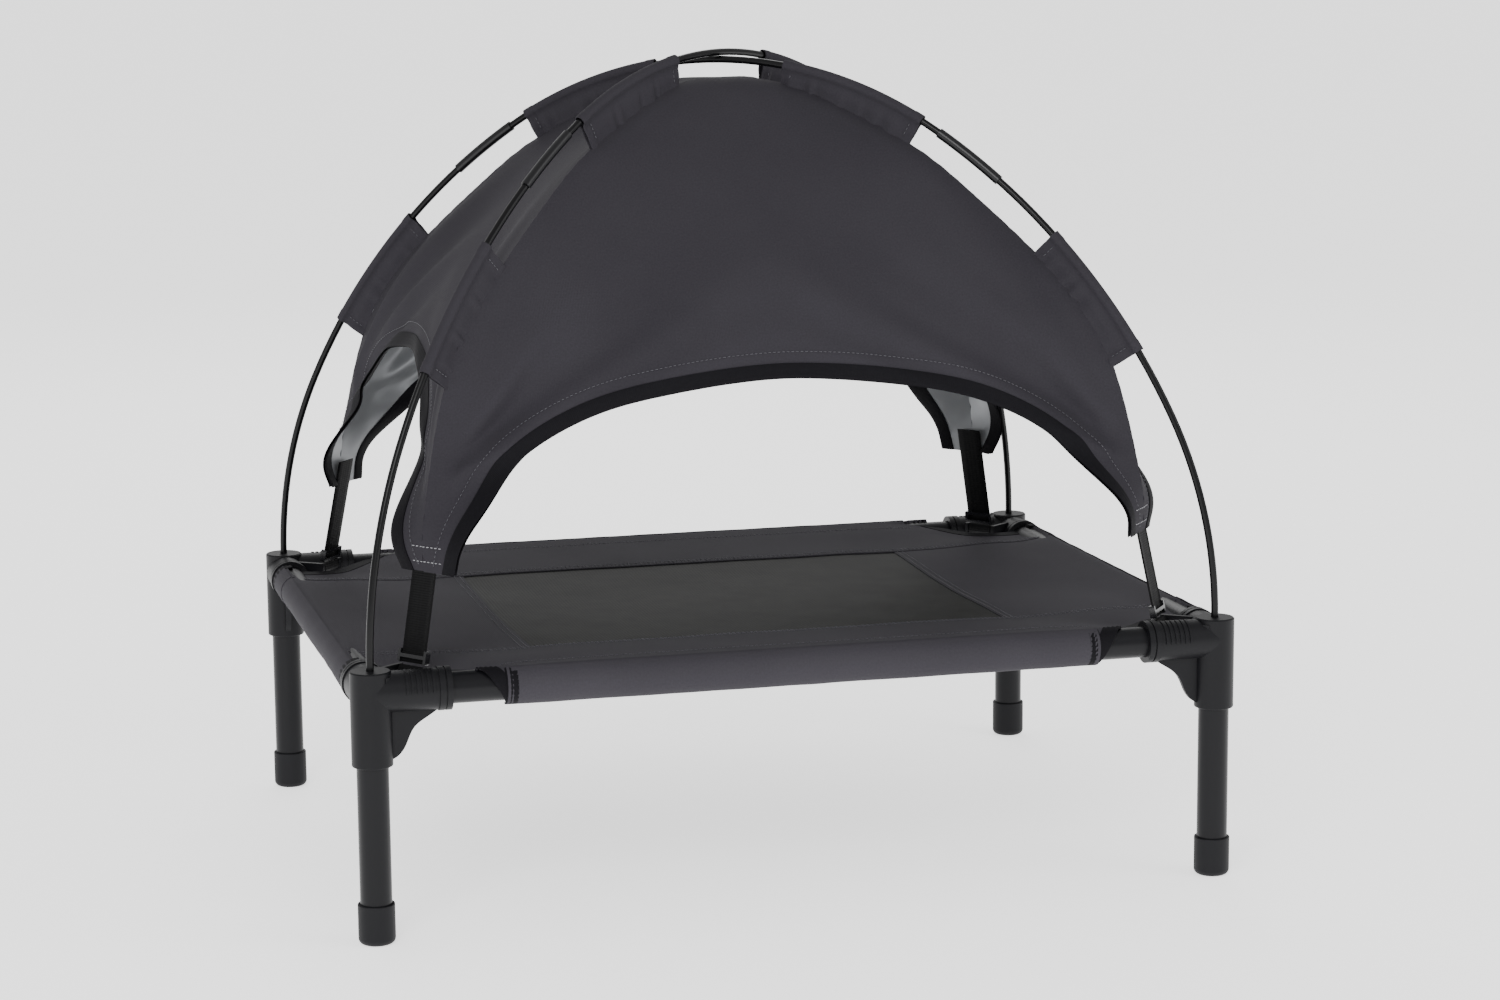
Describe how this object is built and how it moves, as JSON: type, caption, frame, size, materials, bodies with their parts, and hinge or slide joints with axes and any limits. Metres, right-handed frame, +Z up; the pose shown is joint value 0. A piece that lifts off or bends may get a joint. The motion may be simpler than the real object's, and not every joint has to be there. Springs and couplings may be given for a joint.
{
  "type": "raised pet bed with canopy",
  "caption": "Raised pet cot: a taut sling on a tube frame with moulded corners, under a tent canopy hung from two crossed bent poles.",
  "frame": {"origin": "on the floor under the middle of the bed", "axes": "+X along the long side, +Y to the back, +Z up"},
  "size_m": [0.6128, 0.4628, 0.567],
  "materials": {
    "connector_plastic": "moulded, fine satin grain",
    "tube_steel": "satin powder coat",
    "foot_plastic": "moulded, matt",
    "webbing": "woven polyester webbing",
    "sling_cloth": "coated woven polyester",
    "sling_mesh": "open woven mesh, coated yarn",
    "binding_tape": "folded woven tape",
    "pole_fibreglass": "glossy pultruded fibreglass",
    "ferrule_metal": "black coated metal tube",
    "canopy_cloth": "woven polyester with a silver coated inner face",
    "slider_plastic": "moulded, glossy"
  },
  "bodies": {
    "frame": {"connector_front_left": "connector_plastic", "leg_front_left": "tube_steel", "foot_cap_front_left": "foot_plastic", "strap_turn_front_left": "webbing", "connector_front_right": "connector_plastic", "leg_front_right": "tube_steel", "foot_cap_front_right": "foot_plastic", "strap_turn_front_right": "webbing", "connector_back_left": "connector_plastic", "leg_back_left": "tube_steel", "foot_cap_back_left": "foot_plastic", "strap_turn_back_left": "webbing", "connector_back_right": "connector_plastic", "leg_back_right": "tube_steel", "foot_cap_back_right": "foot_plastic", "strap_turn_back_right": "webbing", "front_rail": "tube_steel", "back_rail": "tube_steel", "left_rail": "tube_steel", "right_rail": "tube_steel", "sling_front_strip": "sling_cloth", "sling_back_strip": "sling_cloth", "sling_left_panel": "sling_cloth", "sling_right_panel": "sling_cloth", "sling_mesh_panel": "sling_mesh", "sling_corner_bindings": "binding_tape"},
    "canopy": {"pole_section_front_left": "pole_fibreglass", "ferrule_front_left": "ferrule_metal", "upper_sleeve_front_left": "canopy_cloth", "lower_sleeve_front_left": "canopy_cloth", "strap_front_left": "webbing", "pole_section_front_right": "pole_fibreglass", "ferrule_front_right": "ferrule_metal", "upper_sleeve_front_right": "canopy_cloth", "lower_sleeve_front_right": "canopy_cloth", "strap_front_right": "webbing", "pole_section_back_left": "pole_fibreglass", "ferrule_back_left": "ferrule_metal", "upper_sleeve_back_left": "canopy_cloth", "lower_sleeve_back_left": "canopy_cloth", "strap_back_left": "webbing", "pole_section_back_right": "pole_fibreglass", "ferrule_back_right": "ferrule_metal", "upper_sleeve_back_right": "canopy_cloth", "lower_sleeve_back_right": "canopy_cloth", "strap_back_right": "webbing", "pole_section_middle_front_left_to_back_right": "pole_fibreglass", "pole_section_middle_back_left_to_front_right": "pole_fibreglass", "canopy_front_panel": "canopy_cloth", "canopy_front_binding": "binding_tape", "canopy_back_panel": "canopy_cloth", "canopy_back_binding": "binding_tape", "canopy_left_panel": "canopy_cloth", "canopy_left_binding": "binding_tape", "canopy_right_panel": "canopy_cloth", "canopy_right_binding": "binding_tape"},
    "slider_front_left": {"strap_slider_front_left": "slider_plastic"},
    "slider_front_right": {"strap_slider_front_right": "slider_plastic"},
    "slider_back_left": {"strap_slider_back_left": "slider_plastic"},
    "slider_back_right": {"strap_slider_back_right": "slider_plastic"}
  },
  "joints": [
    {"name": "canopy_lift", "type": "slide", "parent": "frame", "child": "canopy", "axis": [0, 0, 1], "range_m": [0, 0.1]},
    {"name": "slider_front_left_slide", "type": "slide", "parent": "canopy", "child": "slider_front_left", "axis": [0.1702, 0.1265, 0.9773], "range_m": [0, 0.03]},
    {"name": "slider_front_right_slide", "type": "slide", "parent": "canopy", "child": "slider_front_right", "axis": [-0.1702, 0.1265, 0.9773], "range_m": [0, 0.03]},
    {"name": "slider_back_left_slide", "type": "slide", "parent": "canopy", "child": "slider_back_left", "axis": [0.1702, -0.1265, 0.9773], "range_m": [0, 0.03]},
    {"name": "slider_back_right_slide", "type": "slide", "parent": "canopy", "child": "slider_back_right", "axis": [-0.1702, -0.1265, 0.9773], "range_m": [0, 0.03]}
  ]
}
